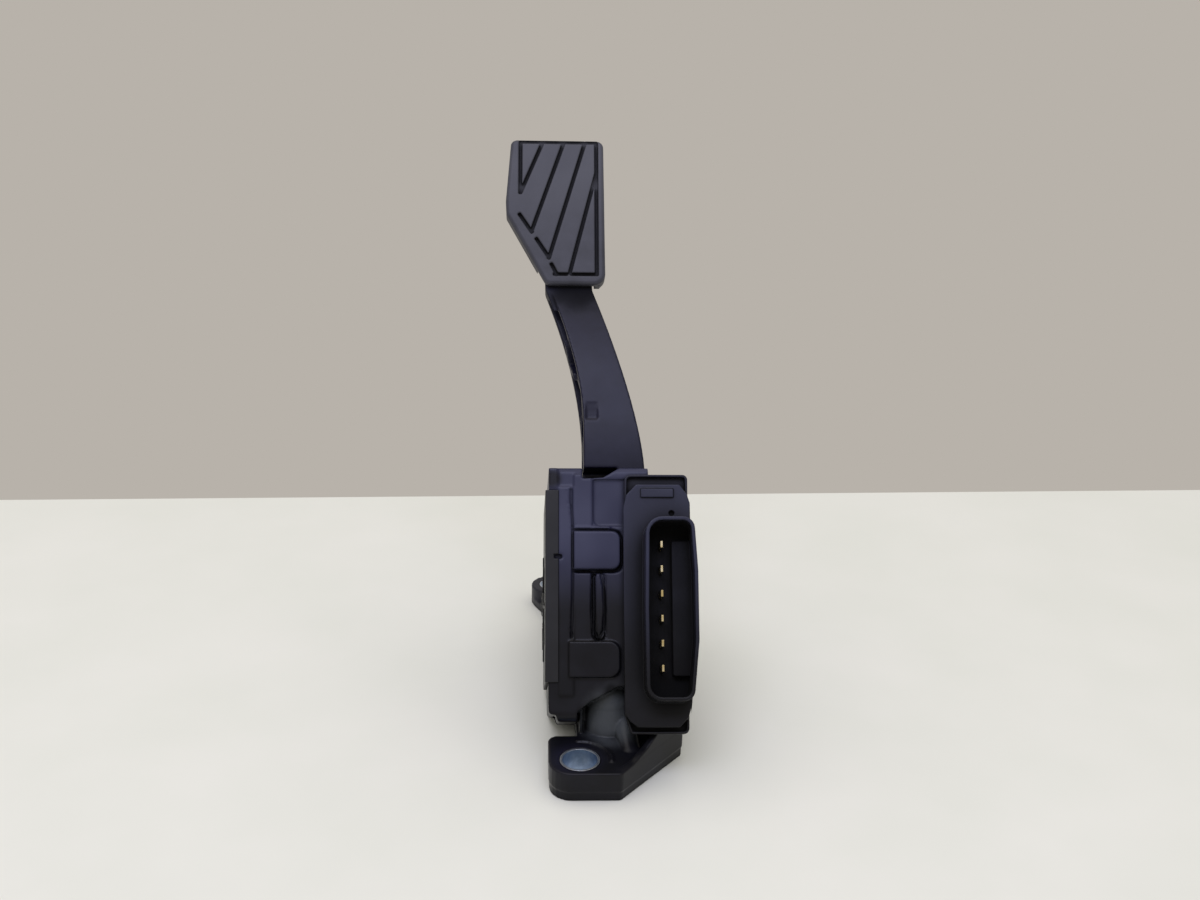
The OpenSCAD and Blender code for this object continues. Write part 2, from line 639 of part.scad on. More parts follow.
module pedal_pad() color("#55555c") leaned() difference() {
    union() {
        along_y(-pad_front + 1, pad_back) pad_outline(0);
        along_y(-pad_front + 0.35, -pad_front + 1) pad_outline(0.35);
        along_y(-pad_front, -pad_front + 0.35) pad_outline(1);
    }
    along_y(-pad_front + pad_t, -pad_front + pad_t + plate_t) pad_outline(plate_in);
    along_y(-pad_front + pad_t, pad_back + 1) pad_outline(plate_in + 2.4);
    // Room for the arm below the carrier plate
    along_y(-pad_front + pad_t, pad_back + 1) polygon(arm_neck);
    for (g = groove_lines)
        translate([0, 0, pad_z0]) along_y(-pad_front - 1, -pad_front + groove_d) groove(g[0], g[1]);
}

// Shaft, rotor and the magnet ring, which turn with the arm

module pivot_shaft() color("#9aa2a8") leaned() union() {
    rod_x(housing_x0 + 0.2, hub_x0 + 9.4, shaft_r);
    rod_x(housing_x0 - 0.1, housing_x0 + 0.2, shaft_r - 0.4);
}

module rotor_dogs(x0, x1, gap) for (a = [0:90:270])
    rotate([a + 45, 0, 0]) translate([x0, -2 - gap, 6.4 - gap]) cube([x1 - x0, 4 + 2 * gap, 4.6 + 2 * gap]);

module spring_rotor() color("#3c3c44") leaned() difference() {
    union() {
        rod_x(rotor_x0, rotor_x1, rotor_r);
        rotor_dogs(rotor_x1 - 1, hub_x0 + 3.2, 0);
        along_x(spring_x - 6, rotor_x1) polygon(rounded([[seat_y + seat_t, spring_z - 7.6, 1],
            [seat_y + seat_t + 5, spring_z - 7, 2], [12.2, 0, 0], [-6, -10.5, 0],
            [seat_y + seat_t, -14, 0]]));
    }
    rod_x(rotor_x0 - 1, rotor_x1 + far, shaft_r + run_gap);
}

module spring_seat() color("#50505a") leaned() translate([spring_x, 0, spring_z]) union() {
    rod_y(seat_y, seat_y + seat_t, outer_coil + outer_wire + 0.05);
    rod_y(seat_y - seat_pilot, seat_y + 1, inner_coil - inner_wire - 0.35);
}

// Coil springs, each a round wire swept along a helix with closed ends

function climb(u, n, w, len) = u < 1 ? w * u : u > n - 1 ? len - w * (n - u) :
    w + (len - 2 * w) * (u - 1) / (n - 2);

module coil(r, wire, turns, y0, y1, seg, sides) {
    n = turns * seg;
    span = y1 - y0 - 2 * wire;
    points = [for (i = [0:n]) for (k = [0:sides - 1])
        let (a = 360 * i / seg, b = 360 * k / sides, c = r + wire * cos(b))
        [c * cos(a), y0 + wire + climb(i / seg, turns, 2.2 * wire, span) + wire * sin(b), c * sin(a)]];
    quads = [for (i = [0:n - 1]) for (k = [0:sides - 1])
        [i * sides + k, i * sides + (k + 1) % sides, (i + 1) * sides + (k + 1) % sides, (i + 1) * sides + k]];
    polyhedron(points, concat([[for (k = [sides - 1:-1:0]) k]], quads,
        [[for (k = [0:sides - 1]) n * sides + k]]));
}

module outer_spring() color("#7c8288") leaned() translate([spring_x, 0, spring_z])
    coil(outer_coil, outer_wire, outer_turns, spring_front, seat_y, 18, 8);

module inner_spring() color("#7c8288") leaned() translate([spring_x, 0, spring_z])
    coil(inner_coil, inner_wire, inner_turns, spring_front, seat_y, 16, 6);

module magnet_yoke() color("#8a8c90") leaned() ring_x(yoke_x0, housing_x1 - 0.2, yoke_r, yoke_r - yoke_wall);

module magnets() color("#505254") leaned() difference() {
    ring_x(yoke_x0 + 1, housing_x1 - 1, yoke_r - yoke_wall - 0.05, yoke_r - yoke_wall - magnet_t);
    translate([0, -20, -1.2]) cube([60, 40, 2.4]);
}

// Sensor module on the housing's right side

frame_points = [[frame_x0 + 2.4, frame_z0, 1], [frame_x0 + frame_w - 0.8, frame_z0, 2.2],
    [frame_x0 + frame_w, frame_z1, 2], [frame_x0 + 0.6, frame_z1, 2.5], [frame_x0, frame_z0 + 7, 1]];

cap_points = concat(
    [for (c = cap_cut_lower_left) [cap_x0 + c[0], cap_z0 + c[1], cap_corner_r]],
    [for (c = cap_cut_lower_right) [cap_x1 - c[0], cap_z0 + c[1], cap_corner_r]],
    [for (c = cap_cut_upper_right) [cap_x1 - c[0], cap_z1 - c[1], cap_corner_r]],
    [for (c = cap_cut_upper_left) [cap_x0 + c[0], cap_z1 - c[1], cap_corner_r]]);

module sensor_housing() color("#24242c") leaned() difference() {
    union() {
        along_y(frame_front, -housing_front - seat_gap) polygon(rounded(frame_points));
        // Body beside the housing, round the pivot
        along_x(body_x0, body_x1) polygon(rounded(concat([[-housing_front - 1, body_front_z[0], 0]],
            body_side, [[-housing_front - 1, body_front_z[1], 0]])));
        ring_x(body_x1 - 0.5, body_x1 + 0.8, body_ring[0], body_ring[1]);
    }
    // Tray behind the connector cap, the groove round the cap inside the frame's lip and the channel
    along_y(frame_front - 1, frame_front + tray_d) polygon(rounded(inset(cap_points, 2.4)));
    along_y(frame_front - 1, frame_front + tray_d + 0.6) difference() {
        polygon(rounded(inset(frame_points, frame_lip)));
        polygon(rounded(inset(cap_points, 0.4)));
    }
    along_x(channel_x0, channel_x1) polygon([[frame_front, -channel_z], [nose_r + 2.4, -channel_z],
        [nose_r + 2.4, channel_z], [frame_front, channel_z]]);
    rod_x(body_x0 - 1, channel_x0 + 0.6, nose_r + seat_gap);
    for (s = screw_spots) translate([0, s[0], s[1]]) {
        rod_x(body_x0 - 1, body_x1 + 1, screw_r + 0.2);
        rod_x(body_x0 + screw_seat, body_x1 + 1, screw_r * 2.4);
    }
}

module hall_holder() color("#1f1f24") leaned() difference() {
    union() {
        rod_x(yoke_x0 + 1.6, channel_x0, nose_r);
        rod_x(channel_x0, channel_x0 + (channel_x1 - channel_x0) * 0.4, nose_r + 2);
    }
    translate([yoke_x0 + 1, -2.4, -1.9]) cube([body_x0 - yoke_x0 + 5, 4.8, 3.8]);
}

module hall_elements() color("#141416") leaned() for (z = [-1.75, 0.15])
    translate([yoke_x0 + 2, -2.2, z]) cube([4, 4.4, 1.6]);

module hall_leads() color("#c9b27a") leaned() for (z = [-1.2, 0.7]) for (y = [-1.6, 0, 1.4])
    translate([yoke_x0 + 6, y, z]) cube([body_x1 - 5.3 - yoke_x0 - 6, 0.5, 0.5]);

board_x = [frame_x0 + 3.2, frame_x0 + frame_w - 3.2];

module circuit_board() color("#2e4a33") leaned() {
    along_y(frame_front + 0.4, frame_front + 1.5)
        polygon(round_box(board_x[0], cap_z0 + 6, board_x[1], cap_z1 - 6, 1));
}

module sensor_seal() color("#3a3430") leaned() along_y(frame_front - 0.45, frame_front - eps) difference() {
    polygon(rounded(inset(cap_points, 0.9)));
    polygon(rounded(inset(cap_points, 2.2)));
}

shroud_points = [[shroud_x0 + 0.2, shroud_z0, 6], [shroud_x0 + shroud_w - 2.2, shroud_z0, 4.2],
    [shroud_x0 + shroud_w, shroud_mid - 12, 12], [shroud_x0 + shroud_w, shroud_mid + 14, 12],
    [shroud_x0 + shroud_w - 1.2, shroud_z0 + shroud_h, 4.6], [shroud_x0 + 0.6, shroud_z0 + shroud_h, 6.4],
    [shroud_x0, shroud_mid, 12]];

function pin_z(i) = pin_mid + (i - (pins - 1) / 2) * pin_pitch;

module connector_cap() color("#2a2a34") leaned() difference() {
    union() {
        along_y(cap_front, frame_front - 0.5) polygon(rounded(cap_points));
        along_y(cap_front - shroud_d, cap_front + 1) polygon(rounded(shroud_points));
        // Plain raised panel above the shroud
        along_y(cap_front - 0.4, cap_front + 0.5)
            polygon(round_box(23.4, cap_z1 - 5.2, 36.2, cap_z1 - 1.5, 0.5));
    }
    // Cavity, with a raised floor beside the blades
    difference() {
        along_y(cap_front - shroud_d - 1, cap_front + 0.6)
            polygon(rounded(inset(shroud_points, shroud_wall)));
        along_y(cap_front - cavity_step, cap_front + 1)
            polygon(round_box(pin_x + 4.2, shroud_z0 + 9.6, shroud_x0 + shroud_w + 2,
                shroud_z0 + shroud_h - 8, 1));
    }
    for (i = [0:pins - 1]) translate([pin_x - pin_w / 2 - run_gap, -60, pin_z(i) - pin_h / 2 - run_gap])
        cube([pin_w + 2 * run_gap, 40, pin_h + 2 * run_gap]);
    translate([35.3, cap_front - 0.01, 33]) rod_y(0, 1.2, 1);
}

module terminals() color("#cbbf8a") leaned() for (i = [0:pins - 1])
    translate([pin_x - pin_w / 2, cap_front - pin_reach, pin_z(i) - pin_h / 2])
        cube([pin_w, pin_reach + cap_t + 0.4, pin_h]);

module sensor_screws() color("#9aa2a8") leaned() for (s = screw_spots) translate([0, s[0], s[1]]) {
    rod_x(wall_x + 0.2, body_x0 + screw_seat + 0.1, screw_r - run_gap);
    rod_x(body_x0 + screw_seat + eps, body_x0 + screw_seat + screw_head_t, screw_r * 2);
}

support_base();
side_cover();
front_collar();
rear_collar();
bush_left();
bush_right();
friction_washer_left();
friction_washer_right();
idle_stop();
full_stop();
pedal_arm();
pedal_pad();
pivot_shaft();
spring_rotor();
spring_seat();
outer_spring();
inner_spring();
magnet_yoke();
magnets();
sensor_housing();
hall_holder();
hall_elements();
circuit_board();
hall_leads();
sensor_seal();
connector_cap();
terminals();
sensor_screws();
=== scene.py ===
import json
import math

import bmesh
import bpy
from mathutils import Matrix, Vector


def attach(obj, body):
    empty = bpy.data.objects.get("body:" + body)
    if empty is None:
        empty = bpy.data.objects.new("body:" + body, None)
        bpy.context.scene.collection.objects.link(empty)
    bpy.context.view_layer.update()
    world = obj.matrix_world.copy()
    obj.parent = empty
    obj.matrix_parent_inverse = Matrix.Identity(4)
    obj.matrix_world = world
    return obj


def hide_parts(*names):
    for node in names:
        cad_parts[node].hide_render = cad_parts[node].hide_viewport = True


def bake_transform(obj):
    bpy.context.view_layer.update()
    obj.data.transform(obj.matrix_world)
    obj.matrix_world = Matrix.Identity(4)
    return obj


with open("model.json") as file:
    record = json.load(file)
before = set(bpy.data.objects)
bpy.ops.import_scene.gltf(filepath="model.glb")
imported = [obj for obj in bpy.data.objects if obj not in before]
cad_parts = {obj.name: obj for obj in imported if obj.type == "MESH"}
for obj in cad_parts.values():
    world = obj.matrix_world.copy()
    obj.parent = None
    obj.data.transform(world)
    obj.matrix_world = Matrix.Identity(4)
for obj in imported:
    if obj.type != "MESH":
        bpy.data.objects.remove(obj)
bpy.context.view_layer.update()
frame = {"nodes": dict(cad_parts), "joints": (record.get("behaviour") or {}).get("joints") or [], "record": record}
nodes = frame["nodes"]

MM = 0.001

# The part's own frame: the unit leans back about the pivot, which lies along X
LEAN = math.radians(34)
PIVOT = Vector(frame["joints"][0]["pos_m"])
LEANED = Matrix.Translation(PIVOT) @ Matrix.Rotation(-LEAN, 4, "X")

BODY_OF = {node: body for body, members in frame["record"]["behaviour"]["bodies"].items()
           for node in members}
SLOT_OF = {part["node"]: part["material_slot"] for part in frame["record"]["subparts"]}

# The photograph's size, the two ends of its floor's far edge, and the camera fitted to it
PHOTO_SIZE = (1200, 900)
FLOOR_EDGE_LEFT = (0, 500)
FLOOR_EDGE_RIGHT = (1200, 490)
FOCAL_PX = 1507
CAMERA_PLACE = Vector((-0.0204, -0.4784, 0.331))
CAMERA_YAW = math.radians(3)
CAMERA_PITCH = math.radians(22.06)
CAMERA_ROLL = math.radians(1.4)
SENSOR_WIDTH_MM = 36
CLIP_START = 0.01
CLIP_END = 20

# The floor's reach from the middle of its far edge, and the size of its faint clouds
FLOOR_REACH = 4
FLOOR_CLOUD_MM = 60
FLOOR_COLOURS = ("#dad9cd", "#dedcd1")
FLOOR_ROUGHNESS = 0.6
FLOOR_SPECULAR = 0.25

# Light from all round, and the backdrop that shows behind the object
WORLD_COLOUR = "#f4f4f2"
WORLD_STRENGTH = 0.76
BACKDROP_COLOUR = "#b8b2aa"
BACKDROP_STRENGTH = 1.0

# Lamps: place and size in metres, power in watts, colour
LAMP_AIM = (0, 0.1, 0.1)
LAMPS = {
    "window": ((-0.12, -0.6, 1.4), (1.1, 0.6), 10, "#d8dcff"),
    "ceiling": ((-0.1, 0.25, 1.5), (1.8, 1.4), 6.5, "#fffaf2"),
}


# Colours and node helpers

BEVEL_SAMPLES = 6
# Samples of the painted shade in hollows
HOLLOW_SAMPLES = 8

# Dot product of the flat and the rounded normal at a full edge and where the edge ends
EDGE_DOTS = (0.86, 0.995)

# Border of a spot: the size of its waves, their share of the reach, and where it fades
BORDER_MM = 6
BORDER_SHARE = 0.3
BORDER_FADE = (0.5, 1.15)


def linear(hex_colour):
    """Turns an sRGB hex value to the linear colour that a shader takes."""
    channels = [int(hex_colour[i:i + 2], 16) / 255 for i in (1, 3, 5)]
    return tuple(c / 12.92 if c <= 0.04045 else ((c + 0.055) / 1.055) ** 2.4
                 for c in channels) + (1,)


def grey(value):
    return (value, value, value, 1)


def add(tree, kind, links=None, **settings):
    """Adds a node, sets its properties or input values, and links sockets to its inputs."""
    node = tree.nodes.new(kind)
    for key, value in settings.items():
        if hasattr(node, key):
            setattr(node, key, value)
        else:
            node.inputs[key.replace("_", " ")].default_value = value
    for key, socket in (links or {}).items():
        tree.links.new(socket, node.inputs[key])
    return node


def noise(tree, place, size_mm, detail, **settings):
    """Noise from 0 to 1 whose features are about size_mm across."""
    return add(tree, "ShaderNodeTexNoise", {"Vector": place}, Scale=1 / (size_mm * MM),
               Detail=detail, **settings).outputs["Fac"]


def ramp(tree, factor, low, high, colour_low, colour_high):
    """A colour ramp of two stops."""
    node = add(tree, "ShaderNodeValToRGB", {"Fac": factor})
    node.color_ramp.elements[0].position = low
    node.color_ramp.elements[0].color = colour_low
    node.color_ramp.elements[1].position = high
    node.color_ramp.elements[1].color = colour_high
    return node.outputs["Color"]


def spread(tree, value, low, high, to_low=0.0, to_high=1.0, kind="LINEAR"):
    """Takes a value from one span to another and holds it at the ends."""
    node = add(tree, "ShaderNodeMapRange", {"Value": value}, interpolation_type=kind)
    ends = {"From Min": low, "From Max": high, "To Min": to_low, "To Max": to_high}
    for key, end in ends.items():
        node.inputs[key].default_value = end
    return node.outputs["Result"]


def reckon(tree, operation, *terms):
    """Arithmetic on terms that are sockets or plain numbers."""
    node = add(tree, "ShaderNodeMath", operation=operation)
    for i, term in enumerate(terms):
        if isinstance(term, (int, float)):
            node.inputs[i].default_value = term
        else:
            tree.links.new(term, node.inputs[i])
    return node.outputs[0]


def mixed(tree, factor, under, over):
    """Lays a colour over another by a factor; each is a socket or a plain colour."""
    node = add(tree, "ShaderNodeMix", {"Factor": factor}, data_type="RGBA")
    for key, colour in (("A", under), ("B", over)):
        if isinstance(colour, tuple):
            node.inputs[key].default_value = colour
        else:
            tree.links.new(colour, node.inputs[key])
    return node.outputs["Result"]


def rounded_normal(tree, radius_mm):
    """The surface's normal, with its edges rounded for the light."""
    return add(tree, "ShaderNodeBevel", samples=BEVEL_SAMPLES,
               Radius=radius_mm * MM).outputs["Normal"]


def edge_mask(tree, radius_mm):
    """A mask of where a face turns sharply, for edges made paler by wear and by a painted highlight."""
    flat = add(tree, "ShaderNodeNewGeometry")
    dot = add(tree, "ShaderNodeVectorMath",
              {0: flat.outputs["Normal"], 1: rounded_normal(tree, radius_mm)},
              operation="DOT_PRODUCT")
    return ramp(tree, dot.outputs["Value"], *EDGE_DOTS, grey(1), grey(0))


def in_height(tree, place, low_mm, high_mm):
    """Rises from 0 to 1 between two heights of the object."""
    height = add(tree, "ShaderNodeSeparateXYZ", {"Vector": place})
    return spread(tree, height.outputs["Z"], low_mm * MM, high_mm * MM, kind="SMOOTHSTEP")


def near_point(tree, place, point_mm, reach_mm):
    """Falls from 1 at a point to 0 at about reach_mm from it, with an uneven border."""
    reach = reach_mm * MM
    away = add(tree, "ShaderNodeVectorMath", {0: place}, operation="DISTANCE")
    away.inputs[1].default_value = [c * MM for c in point_mm]
    ragged = noise(tree, place, BORDER_MM, 3.0)
    shifted = reckon(tree, "MULTIPLY_ADD", ragged, BORDER_SHARE * reach, away.outputs["Value"])
    start, end = (share * reach for share in BORDER_FADE)
    return spread(tree, shifted, start, end, 1.0, 0.0, kind="SMOOTHSTEP")


def new_material(name):
    made = bpy.data.materials.new(name)
    made.use_nodes = True
    made.node_tree.nodes.clear()
    return made, made.node_tree


def surface(tree, colour, roughness, normal, **plain):
    """Ends a material in its shader; plain values go on the shader's own sockets."""
    shader = add(tree, "ShaderNodeBsdfPrincipled",
                 {"Base Color": colour, "Roughness": roughness, "Normal": normal}, **plain)
    add(tree, "ShaderNodeOutputMaterial", {"Surface": shader.outputs["BSDF"]})


# Mouldings: sizes of the mottling and the flow marks, and the noise values they run between
MOTTLE_MM = 9
MOTTLE_SPAN = (0.35, 0.68)
FLOW_MM = 30
# Noise values between which the painted sheen towards the top is mottled
SHEEN_SPAN = (0.38, 0.62)
GLOSS_SPAN = (0.3, 0.7)
GLOSS_SPREAD = (-0.05, 0.06)
# How far an edge is paler than the face, from wear and a painted highlight, and how dark and dull a hollow gets
# under painted shade
EDGE_GAIN = 1.9
EDGE_LIFT = 0.006
HOLLOW_SHARE = 0.2
HOLLOW_ROUGHNESS = 0.85
MOULDED_BEVEL_MM = 0.3
MOULDED_BUMP = 0.5


def moulded(name, colour, light_colour, roughness, grain_mm, grain_depth_mm, specular=0.4,
            edge_mm=0.35, shade_mm=5.0, hollow=(0.3, 0.8), top_sheen=None, tint_and_light_spots=(), painted_shadows=()):
    """Plastic or rubber from a mould: fine matt grain, mottling, edges paler from wear and a
    painted highlight, and painted shade in hollows.

    hollow gives the openness at which the painted shade of a hollow is darkest and at which it ends.
    bloom is a painted sheen, paler towards the top, that comes in between two heights. scuffs are
    spots of another colour, as point, reach and colour; some are painted reflection. sheltered gives
    spots of painted shadow, dull and dark, as point, reach and share.
    """
    made, tree = new_material(name)
    place = add(tree, "ShaderNodeTexCoord").outputs["Object"]
    flow = noise(tree, place, FLOW_MM, 2.0)
    mottle = noise(tree, place, MOTTLE_MM, 4.0, Roughness=0.6)
    body = ramp(tree, mottle, *MOTTLE_SPAN, linear(colour), linear(light_colour))
    # Painted sheen: the colour turns paler towards the top, as light from above falls on it
    if top_sheen:
        low_mm, high_mm, sheen_colour, sheen_light = top_sheen
        cloud = ramp(tree, flow, *SHEEN_SPAN, linear(sheen_colour), linear(sheen_light))
        body = mixed(tree, in_height(tree, place, low_mm, high_mm), body, cloud)
    # Spots of another colour; some of them are painted reflection
    for point_mm, reach_mm, spot_colour in tint_and_light_spots:
        spot = near_point(tree, place, point_mm, reach_mm)
        body = mixed(tree, spot, body, linear(spot_colour))
    # Paler edges: rubbed wear and a painted highlight
    edge_colour = tuple(min(1, c * EDGE_GAIN + EDGE_LIFT) for c in linear(light_colour)[:3]) + (1,)
    worn_and_lit = mixed(tree, edge_mask(tree, edge_mm), body, edge_colour)

    # Painted shade: the colour darkens, and the surface dulls, in hollows and creases where shade falls
    shade = add(tree, "ShaderNodeAmbientOcclusion", samples=HOLLOW_SAMPLES, Distance=shade_mm * MM)
    unshaded = spread(tree, shade.outputs["AO"], *hollow)
    # Painted shadow: spots that turn dark and dull where shade falls
    for point_mm, reach_mm, share in painted_shadows:
        spot = near_point(tree, place, point_mm, reach_mm)
        unshaded = reckon(tree, "MULTIPLY", unshaded, reckon(tree, "MULTIPLY_ADD", spot, -share, 1))
    painted_shade_colour = tuple(c * HOLLOW_SHARE for c in linear(colour)[:3]) + (1,)
    tone = mixed(tree, unshaded, painted_shade_colour, worn_and_lit)
    rough = spread(tree, flow, *GLOSS_SPAN, *(roughness + shift for shift in GLOSS_SPREAD))
    dulled = add(tree, "ShaderNodeMix", {"Factor": unshaded, "B": rough})
    dulled.inputs["A"].default_value = HOLLOW_ROUGHNESS

    bump = add(tree, "ShaderNodeBump", {
        "Height": noise(tree, place, grain_mm, 2.0),
        "Normal": rounded_normal(tree, MOULDED_BEVEL_MM),
    }, Strength=MOULDED_BUMP, Distance=grain_depth_mm * MM)
    surface(tree, tone, dulled.outputs["Result"], bump.outputs["Normal"],
            Specular_IOR_Level=specular)
    return made


# Metals: size of the cloudy patches, the noise values they run between, the width of the painted highlight on rims
PATCH_MM = 2.5
PATCH_SPAN = (0.35, 0.7)
RIM_MM = 0.7
METAL_GLOSS_SPREAD = (-0.08, 0.12)
METAL_BUMP = 0.25
METAL_GRAIN_DEPTH_MM = 0.02


def plated(name, colour, light_colour, roughness, stroke_mm, bevel_mm=0.15, rim_highlight=None):
    """Plated or drawn metal: cloudy patches, fine drawing marks, and rims that may carry a painted highlight."""
    made, tree = new_material(name)
    place = add(tree, "ShaderNodeTexCoord").outputs["Object"]
    patch = noise(tree, place, PATCH_MM, 3.0)
    fine = noise(tree, place, stroke_mm, 3.0)
    body = ramp(tree, patch, *PATCH_SPAN, linear(colour), linear(light_colour))
    # A painted highlight along the rims
    if rim_highlight:
        body = mixed(tree, edge_mask(tree, RIM_MM), body, linear(rim_highlight))
    rough = spread(tree, fine, 0.0, 1.0, *(roughness + shift for shift in METAL_GLOSS_SPREAD))
    bump = add(tree, "ShaderNodeBump", {"Height": fine, "Normal": rounded_normal(tree, bevel_mm)},
               Strength=METAL_BUMP, Distance=METAL_GRAIN_DEPTH_MM * MM)
    surface(tree, body, rough, bump.outputs["Normal"], Metallic=1.0)
    return made


# Finishes, one for each material slot of the record

FINISHES = {
    # Glass-filled PBT from a spark-eroded tool: nearly black with a soft sheen, a painted blue sheen on
    # the upper half, a painted reflection lightening the neck, and painted shade under the spring pocket
    "housing_plastic": moulded(
        "black_pbt_moulded", "#0c0c10", "#111117", 0.34, 0.45, 0.03, specular=0.2,
        shade_mm=3, hollow=(0.2, 0.85), top_sheen=(56, 78, "#2d2e43", "#38394e"),
        # Spots: a bluish lighter one on the foot's top, a painted reflection lightening the neck, and lighter ones
        # on the rear lug and on a notch near the top
        tint_and_light_spots=[((-2, 0, 12), 13, "#181825"), ((13, 20, 20), 17, "#484b4e"),
                ((-17, 149, 5), 15, "#27272e"), ((-10.6, 61, 100), 5, "#15151c")],
        # Painted shade on the lower lobe, and painted shadow of the front plate on the top of the neck
        painted_shadows=[((-7, 18, 33), 12, 0.5), ((4, 18, 28), 5, 0.85),
                   ((12, 16.5, 31.5), 4.5, 0.85)]),
    # The cover is the same resin, a little greyer and duller
    "cover_plastic": moulded(
        "black_pbt_cover", "#131315", "#19191b", 0.4, 0.45, 0.03, specular=0.3),
    # Glass-filled PA66: bluish sheen, with painted shadow of the pad, dark and dull, on its top end
    "arm_plastic": moulded(
        "black_pa66_arm", "#151524", "#1b1b2c", 0.34, 0.4, 0.02, specular=0.2, edge_mm=0.12,
        shade_mm=3, hollow=(0.1, 0.75), painted_shadows=[((1, 124, 163), 21, 0.95)]),
    # Satin black frame behind the connector, with a painted bluish sheen towards its top
    "sensor_plastic": moulded(
        "black_pbt_sensor", "#0b0b0e", "#101014", 0.34, 0.4, 0.02, specular=0.22,
        top_sheen=(45, 85, "#1c1c2a", "#21212f")),
    # The cap: satin black below, a painted blue-grey sheen towards its top, and painted shade inside the shroud
    "connector_plastic": moulded(
        "black_pbt_connector", "#0b0b0e", "#111116", 0.32, 0.4, 0.02, specular=0.22,
        shade_mm=16, hollow=(0.5, 0.95), top_sheen=(40, 85, "#28293a", "#2d2f42"),
        painted_shadows=[((39, 21, 46), 11, 0.45), ((39, 27, 58), 11, 0.45),
                   ((39, 34, 71), 11, 0.45)]),
    # Moulded natural rubber: matt and greyer than the plastic, with a paler painted sheen towards its top end
    "pad_rubber": moulded(
        "moulded_pad_rubber", "#323239", "#3c3c45", 0.5, 0.6, 0.05, specular=0.3, edge_mm=0.5,
        shade_mm=2.5, hollow=(0.45, 0.9), top_sheen=(160, 215, "#3c3c44", "#4a4a52")),
    # Stops and seal: dull black rubber and smoother black silicone
    "stop_rubber": moulded(
        "moulded_stop_rubber", "#151516", "#1c1c1e", 0.7, 0.5, 0.04, specular=0.25),
    "seal_rubber": moulded(
        "silicone_seal", "#0c0c0d", "#121213", 0.5, 0.5, 0.02, specular=0.35),
    # Acetal: smooth dark grey
    "rotor_plastic": moulded("grey_acetal", "#2a2a2e", "#35353a", 0.35, 0.4, 0.01),
    # Bearing resin: smooth straw colour
    "bush_plastic": moulded("bearing_resin", "#9a8f6c", "#a89c78", 0.4, 0.4, 0.01),
    # Friction lining: rough brown
    "friction_lining": moulded(
        "friction_lining", "#4a3d2c", "#5c4c38", 0.8, 0.5, 0.06, specular=0.2),
    # Chips in black epoxy on a board with green solder resist
    "chip_resin": moulded("epoxy_moulding", "#0f0f10", "#161617", 0.5, 0.3, 0.01),
    "board_laminate": moulded("solder_resist", "#173a24", "#1d4a2d", 0.35, 0.5, 0.01),
    # Blue-passivated zinc on steel: cool grey with cloudy patches and a painted highlight on the rim
    "zinc_steel": plated(
        "blue_zinc_steel", "#98abc4", "#bccde2", 0.34, 0.3, rim_highlight="#f2f5fb"),
    # Plain pressed steel, drawn spring wire and a sintered magnet, from pale to dark
    "yoke_steel": plated("pressed_steel", "#77787a", "#8d8e90", 0.38, 0.3),
    "spring_steel": plated("spring_wire", "#6a6d70", "#85888b", 0.3, 0.25),
    "magnet": plated("sintered_magnet", "#3a3b3d", "#4a4b4d", 0.5, 0.3),
    # Tinned brass: bright pale gold
    "terminal_metal": plated(
        "tinned_brass", "#cbb67c", "#e8dcb4", 0.24, 0.2, bevel_mm=0.08),
}


def dress_frame():
    """Gives every node of the frame the finish of its slot."""
    for node, slot in SLOT_OF.items():
        piece = nodes[node]
        piece.data.materials.clear()
        piece.data.materials.append(FINISHES[slot])


# Camera, floor, light

def placed(name, data):
    """A new object in the scene."""
    thing = bpy.data.objects.new(name, data)
    bpy.context.scene.collection.objects.link(thing)
    return thing


def camera_axes():
    """Right, up and forward of the camera that took the photograph."""
    forward = Vector((math.sin(CAMERA_YAW) * math.cos(CAMERA_PITCH),
                      math.cos(CAMERA_YAW) * math.cos(CAMERA_PITCH),
                      -math.sin(CAMERA_PITCH)))
    right = Vector((math.cos(CAMERA_YAW), -math.sin(CAMERA_YAW), 0))
    up = right.cross(forward)
    rolled_right = right * math.cos(CAMERA_ROLL) + up * math.sin(CAMERA_ROLL)
    rolled_up = up * math.cos(CAMERA_ROLL) - right * math.sin(CAMERA_ROLL)
    return rolled_right, rolled_up, forward


def floor_point(pixel):
    """The place on the floor that a pixel of the photograph shows."""
    right, up, forward = camera_axes()
    across = pixel[0] - PHOTO_SIZE[0] / 2
    down = pixel[1] - PHOTO_SIZE[1] / 2
    ray = forward * FOCAL_PX + right * across - up * down
    return CAMERA_PLACE - ray * (CAMERA_PLACE.z / ray.z)


def make_camera():
    data = bpy.data.cameras.new("photo_camera")
    data.sensor_width = SENSOR_WIDTH_MM
    data.lens = data.sensor_width * FOCAL_PX / PHOTO_SIZE[0]
    data.clip_start = CLIP_START
    data.clip_end = CLIP_END
    camera = placed("photo_camera", data)
    right, up, forward = camera_axes()
    turned = Matrix((right, up, -forward)).transposed().to_4x4()
    camera.matrix_world = Matrix.Translation(CAMERA_PLACE) @ turned
    bpy.context.scene.camera = camera


